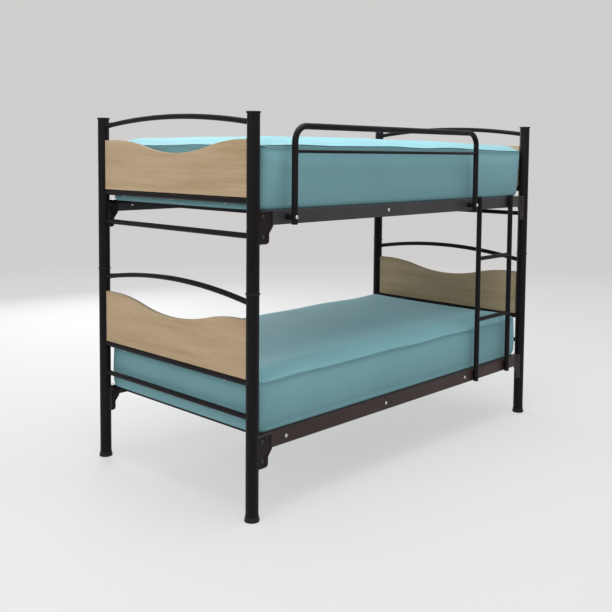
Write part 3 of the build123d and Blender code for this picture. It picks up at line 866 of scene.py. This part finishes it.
# %% Bolt and nut drawings
shank_radius = 0.004
thread_root = 0.0034
thread_pitch = 0.00125
thread_turns = 7
tip_length = 0.0004
tip_share = 0.8
head_radius = 0.0075
dome_shares = ((0.0, 1.0), (0.0009, 1.0), (0.0021, 0.91), (0.0031, 0.73), (0.0037, 0.53))
socket_flats = 0.005
socket_shares = ((0.0038, 1.06), (0.0035, 1.0), (0.0013, 1.0))
nut_flats = 0.013
nut_hole = 0.0042
nut_corner = 0.0007
nut_face_share = 0.93


def bolt_rings(length):
    """Rings of a bolt whose head rests at height 0, with its shank below."""
    start = -length + tip_length
    rings = [(-length, thread_root * tip_share, None), (start, thread_root, None)]
    for number in range(thread_turns):
        foot = start + number * thread_pitch
        rings.append((foot + thread_pitch / 2, shank_radius, None))
        rings.append((foot + thread_pitch, thread_root, None))
    rings.append((rings[-1][0] + thread_pitch / 2, shank_radius, None))
    rings.append((0.0, shank_radius, None))
    rings += [(height, head_radius * share, None) for height, share in dome_shares]
    rings += [(height, 0.0, socket_flats * share) for height, share in socket_shares]
    return rings


def nut_rings(height):
    """Rings of a nut that stands on height 0."""
    edge = nut_flats / 2 * nut_face_share
    return [
        (0.0, nut_hole, None),
        (0.0, edge, None),
        (nut_corner, 0.0, nut_flats),
        (height - nut_corner, 0.0, nut_flats),
        (height, edge, None),
        (height, nut_hole, None),
    ]


print("dome rises to", dome_shares[-1][0], "and the socket is", socket_flats, "across its flats")

# %% [markdown]
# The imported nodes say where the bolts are: their meshes fall apart into islands, and the box of
# each island gives its middle, its length and which way it faces. A bolt is longer than a nut.

# %% Islands of a node
nut_limit = 0.0068
same_place = 1e-6
place_digits = 4


def island_boxes(node):
    """Lowest and highest corner of each separate solid in a node's mesh, in a fixed order."""
    bm = bmesh.new()
    bm.from_mesh(nodes[node].data)
    bmesh.ops.remove_doubles(bm, verts=bm.verts[:], dist=same_place)
    left = set(bm.verts)
    boxes = []
    while left:
        group, edge = set(), [left.pop()]
        while edge:
            vertex = edge.pop()
            group.add(vertex)
            for link in vertex.link_edges:
                other = link.other_vert(vertex)
                if other in left:
                    left.remove(other)
                    edge.append(other)
        boxes.append(corners(group))
    bm.free()
    return sorted(boxes, key=lambda box: [round(value, place_digits) for value in (*box[0], *box[1])])


print("bolts and nuts along the lower rails", len(island_boxes("lower_rail_bolts")))

# %% [markdown]
# A bolt's head is on the outer side of the bed and its nut on the inner side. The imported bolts
# have plain heads of one height, so the rest of an island's length is the shank. Each piece is
# turned one step further than the one before it, because tightened bolts end at no set turn.

# %% Make the bolts
bed_axis_y = (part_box("lower_rail_front")[0].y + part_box("lower_rail_back")[1].y) / 2
head_height = 0.004
sharp_angle = math.radians(32)
turn_step = math.radians(23)


def make_bolts(node, body, finish):
    """Detailed bolts and nuts in place of one node's plain ones."""
    bm = bmesh.new()
    boxes = island_boxes(node)
    for number, (low, high) in enumerate(boxes):
        middle = (low + high) / 2
        outward = -1 if middle.y < bed_axis_y else 1
        length = high.y - low.y
        if length > nut_limit:
            verts = grow_rings(bm, bolt_rings(length - head_height), closed=False)
            seat = (low.y if outward < 0 else high.y) - outward * head_height
        else:
            verts = grow_rings(bm, nut_rings(length), closed=True)
            seat = high.y if outward < 0 else low.y
        spin = Matrix.Rotation(number * turn_step, 4, "Z")
        face = Matrix.Rotation(-outward * math.pi / 2, 4, "X")
        move = Matrix.Translation((middle.x, seat, middle.z)) @ face @ spin
        bmesh.ops.transform(bm, matrix=move, verts=verts)
    bmesh.ops.recalc_face_normals(bm, faces=bm.faces[:])
    piece = mesh_object(f"{node}_detailed", bm, finish)
    piece.data.set_sharp_from_angle(angle=sharp_angle)
    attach(piece, body)
    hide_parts(node)
    print(piece.name, "solids", len(boxes), "faces", len(piece.data.polygons))


for node, body, finish, slot in (
    ("lower_rail_bolts", "lower_bunk", zinc, "zinc_bolts"),
    ("upper_rail_bolts", "upper_bunk", zinc, "zinc_bolts"),
    ("guard_rail_bolts", "upper_bunk", zinc, "zinc_bolts"),
    ("lower_end_bolts", "lower_bunk", black_bolt, "black_bolts"),
    ("upper_end_bolts", "upper_bunk", black_bolt, "black_bolts"),
):
    make_bolts(node, body, finish)

# %% [markdown]
# ## Weld beads
# Where a tube meets a post it is welded all round, and the coat covers a small rounded bead.
# Such a bead is a ring of round wire: a small circle is spun round the tube's axis, and then each
# point slides along that axis until the ring lies on the post's round side. At the arches the
# ring also leans, because the tube arrives at a slope. A fixed noise keeps the bead uneven.
# Where a tube is as wide as its post, the slide stops just short of the post's edge.

# %% One bead
bead_radius = 0.0024
bead_sides = 8
bead_steps = 44
bead_unevenness = 0.0005
bead_grain = 330.0
edge_share = 0.98


def add_bead(bm, place, along, tube_radius, post_radius, slope=0.0):
    """Bead round a tube that leaves a post, from a place on the post's axis along X or Y."""
    section = bmesh.ops.create_circle(bm, segments=bead_sides, radius=bead_radius)["verts"]
    start = Matrix.Translation((0, tube_radius, 0)) @ Matrix.Rotation(math.pi / 2, 4, "Y")
    bmesh.ops.transform(bm, matrix=start, verts=section)
    edges = ring_edges(bm, section)
    before = set(bm.verts) - set(section)
    bmesh.ops.spin(
        bm,
        geom=section + edges,
        axis=(0, 0, 1),
        cent=(0, 0, 0),
        angle=math.tau,
        steps=bead_steps,
        use_merge=True,
    )
    verts = [vertex for vertex in bm.verts if vertex not in before]
    across = Vector((0, 1, 0)) if along.x else Vector((1, 0, 0))
    for vertex in verts:
        side, rise, out = vertex.co
        rough = noise.noise((place + vertex.co) * bead_grain) * bead_unevenness
        out += math.sqrt(post_radius**2 - min(side**2, post_radius**2 * edge_share)) + rough
        rise += slope * (out - post_radius)
        vertex.co = place + across * side + along * out + Vector((0, 0, rise))


def finish_beads(bm, name, body):
    """One piece of all the beads on a body, under the same coat as the tubes."""
    bmesh.ops.recalc_face_normals(bm, faces=bm.faces[:])
    piece = mesh_object(name, bm, black_coat)
    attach(piece, body)
    print(name, "faces", len(piece.data.polygons))


print("points in each bead", bead_sides * bead_steps)

# %% [markdown]
# Each end of a bunk has three tubes between its two posts: the arch, the bar under the board and
# the crossbar. An arch is an arc of a circle, and its rise is how far its middle stands above the
# places where it would meet the posts' axes. From that follow how low it meets the side of a
# post, and at what slope. The upper bunk also has the guard rail, whose bar is welded to the legs
# of its bent tube.

# %% Beads of the bunks
panel_bar_radius = 0.0125
arch_radius = 0.011
crossbar_radius = 0.011
guard_leg_radius = 0.0125
end_post_radius = 0.025
arch_rise = {"lower": 0.046, "upper": 0.034}
post_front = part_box("lower_post_front_left")[0].y
post_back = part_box("lower_post_back_left")[1].y
half_span = (post_back - post_front) / 2 - end_post_radius


def middle_of(node):
    """Middle of a node's box."""
    low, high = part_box(node)
    return (low + high) / 2


def arch_end(rise):
    """How far below its middle an arch meets the side of a post, and its slope there."""
    arc_radius = (half_span**2 + rise**2) / (2 * rise)
    reach = half_span - end_post_radius
    height = math.sqrt(arc_radius**2 - reach**2)
    return arc_radius - height, reach / height


def add_end_beads(bm, bunk, end, rise):
    """Beads at both posts of one end."""
    drop, slope = arch_end(rise)
    arch = middle_of(f"{bunk}_arch_{end}")
    arch_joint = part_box(f"{bunk}_arch_{end}")[1].z - arch_radius - drop
    for way in (-1, 1):
        for height, radius, lean in (
            (arch_joint, arch_radius, slope),
            (middle_of(f"{bunk}_panel_bar_{end}").z, panel_bar_radius, 0.0),
            (middle_of(f"{bunk}_crossbar_{end}").z, crossbar_radius, 0.0),
        ):
            place = Vector((arch.x, arch.y + way * half_span, height))
            add_bead(bm, place, Vector((0, -way, 0)), radius, end_post_radius, lean)


def add_guard_beads(bm):
    """Beads at both ends of the guard rail's bar."""
    bar_low, bar_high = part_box("guard_rail_bar")
    tube_low, tube_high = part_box("guard_rail_tube")
    bar = middle_of("guard_rail_bar")
    bar_radius = (bar_high.z - bar_low.z) / 2
    for x, way in ((tube_low.x + guard_leg_radius, 1), (tube_high.x - guard_leg_radius, -1)):
        add_bead(bm, Vector((x, bar.y, bar.z)), Vector((way, 0, 0)), bar_radius, guard_leg_radius)


for bunk, rise in arch_rise.items():
    bm = bmesh.new()
    for end in ("left", "right"):
        add_end_beads(bm, bunk, end, rise)
    if bunk == "upper":
        add_guard_beads(bm)
    finish_beads(bm, f"{bunk}_weld_beads", f"{bunk}_bunk")

# %% [markdown]
# The ladder's rungs are welded to its two stiles in the same way. Their beads are a piece of
# their own, because the ladder can be lifted off.

# %% Beads of the ladder
rung_radius = 0.010
stile_radius = 0.0125
bm = bmesh.new()
for number in (1, 2):
    rung = middle_of(f"ladder_rung_{number}")
    for side, way in (("left", 1), ("right", -1)):
        stile = middle_of(f"ladder_stile_{side}")
        place = Vector((stile.x, rung.y, rung.z))
        add_bead(bm, place, Vector((way, 0, 0)), rung_radius, stile_radius)
finish_beads(bm, "ladder_weld_beads", "ladder")

# %% [markdown]
# ## Floor and background
# The bed stands on a plain pale floor. Far from the bed the floor fades into the tone of the
# background, so no horizon cuts through the picture. Near the bed a share of even pale light is
# mixed in, so that the shadow under it stays as light as in the photograph. Both are only for the
# camera and for reflections: as a light source the floor stays an ordinary pale surface.

# %% Background tone
background_tone = (0.63, 0.62, 0.61)


def seen_rays(tree):
    """1 for rays of the camera, of a reflection or through glass, else 0."""
    path = tree.nodes.new("ShaderNodeLightPath")
    value = path.outputs["Is Camera Ray"]
    for name in ("Is Glossy Ray", "Is Transmission Ray"):
        either = tree.nodes.new("ShaderNodeMath")
        either.operation = "MAXIMUM"
        tree.links.new(value, either.inputs[0])
        tree.links.new(path.outputs[name], either.inputs[1])
        value = either.outputs["Value"]
    return value


print("background", background_tone)

# %% [markdown]
# The floor is one wide disc. A smooth step over the distance from the bed's middle gives the
# fade, and it is also the share of the even tone: from the lift near the bed to all of it far
# away.

# %% Floor
floor_radius = 40.0
floor_sides = 96
floor_tone = (0.50, 0.50, 0.497)
floor_roughness = 0.8
near_tone = (0.95, 0.95, 0.945)
fade_start = 2.4
fade_end = 7.5
shadow_lift = 0.55


def fade_with_distance(tree):
    """0 near the bed and 1 far from it."""
    place = tree.nodes.new("ShaderNodeTexCoord")
    distance = tree.nodes.new("ShaderNodeVectorMath")
    distance.operation = "LENGTH"
    tree.links.new(place.outputs["Object"], distance.inputs[0])
    fade = tree.nodes.new("ShaderNodeMapRange")
    fade.interpolation_type = "SMOOTHSTEP"
    fade.inputs["From Min"].default_value = fade_start
    fade.inputs["From Max"].default_value = fade_end
    tree.links.new(distance.outputs["Value"], fade.inputs["Value"])
    return fade.outputs["Result"]


def make_floor_finish():
    material, tree, shader = new_material("pale_floor", floor_tone, floor_roughness)
    fade = fade_with_distance(tree)
    share_seen = tree.nodes.new("ShaderNodeMath")
    share_seen.operation = "MULTIPLY"
    tree.links.new(spread(tree, fade, low=shadow_lift, high=1.0), share_seen.inputs[0])
    tree.links.new(seen_rays(tree), share_seen.inputs[1])
    even_tone = tree.nodes.new("ShaderNodeEmission")
    tone = blend_colors(tree, fade, near_tone, background_tone)
    tree.links.new(tone, even_tone.inputs["Color"])
    mix = tree.nodes.new("ShaderNodeMixShader")
    tree.links.new(share_seen.outputs["Value"], mix.inputs["Fac"])
    tree.links.new(shader.outputs["BSDF"], mix.inputs[1])
    tree.links.new(even_tone.outputs["Emission"], mix.inputs[2])
    surface = tree.nodes["Material Output"].inputs["Surface"]
    tree.links.new(mix.outputs["Shader"], surface)
    return material


bm = bmesh.new()
bmesh.ops.create_circle(bm, cap_ends=True, radius=floor_radius, segments=floor_sides)
floor = mesh_object("floor", bm, make_floor_finish(), smooth=False)
print("floor radius", floor_radius, "fades from", fade_start, "to", fade_end)

# %% [markdown]
# The world lights the bed evenly from all sides. The camera and reflections don't see that white
# light but the background's own tone, so its strength can be chosen for the shadows alone.

# %% World
sky_strength = 0.40
world = bpy.data.worlds.new("studio")
bpy.context.scene.world = world
world.use_nodes = True
world_tree = world.node_tree
world_tree.nodes.clear()
sky = world_tree.nodes.new("ShaderNodeBackground")
sky.inputs["Strength"].default_value = sky_strength
sky.inputs["Color"].default_value = (1, 1, 1, 1)
seen = world_tree.nodes.new("ShaderNodeBackground")
seen.inputs["Color"].default_value = (*background_tone, 1)
choice = world_tree.nodes.new("ShaderNodeMixShader")
result = world_tree.nodes.new("ShaderNodeOutputWorld")
world_tree.links.new(seen_rays(world_tree), choice.inputs["Fac"])
world_tree.links.new(sky.outputs["Background"], choice.inputs[1])
world_tree.links.new(seen.outputs["Background"], choice.inputs[2])
world_tree.links.new(choice.outputs["Shader"], result.inputs["Surface"])
print("sky strength", sky_strength)

# %% [markdown]
# ## Lamps
# One large soft lamp hangs over the bed and makes the tops much brighter than the sides, as in
# the photograph. A weaker one from the left lights the end panels, one from the front lights
# the long side, and one from behind reaches the far part of the lower mattress. The lamps over
# and behind the bed are slightly cool and the other two slightly warm.

# %% Lamps
lamp_target = Vector((0, 0, 0.8))
cool_light = (0.95, 0.985, 1.0)
warm_light = (1.0, 0.985, 0.955)
lamps = {
    "over": {"place": (-0.4, -0.5, 4.2), "size": 3.4, "power": 180, "tint": cool_light},
    "left": {"place": (-4.4, -0.6, 3.0), "size": 2.5, "power": 50, "tint": warm_light},
    "front": {"place": (-1.6, -4.8, 2.0), "size": 2.5, "power": 12, "tint": warm_light},
    "behind": {"place": (1.0, 4.2, 2.0), "size": 2.5, "power": 125, "tint": cool_light},
}
for name, lamp_values in lamps.items():
    lamp_data = bpy.data.lights.new(name, "AREA")
    lamp_data.shape = "SQUARE"
    lamp_data.size = lamp_values["size"]
    lamp_data.energy = lamp_values["power"]
    lamp_data.color = lamp_values["tint"]
    lamp = bpy.data.objects.new(name, lamp_data)
    lamp.location = lamp_values["place"]
    direction = lamp_target - Vector(lamp_values["place"])
    lamp.rotation_euler = direction.to_track_quat("-Z", "Y").to_euler()
    bpy.context.scene.collection.objects.link(lamp)
    print(name, "lamp at", round(direction.length, 2), "m with power", lamp_values["power"])

# %% [markdown]
# ## View transform
# The standard view transform shows tones as they are, so they can be compared with the
# photograph's.

# %% View transform
bpy.context.scene.view_settings.view_transform = "Standard"
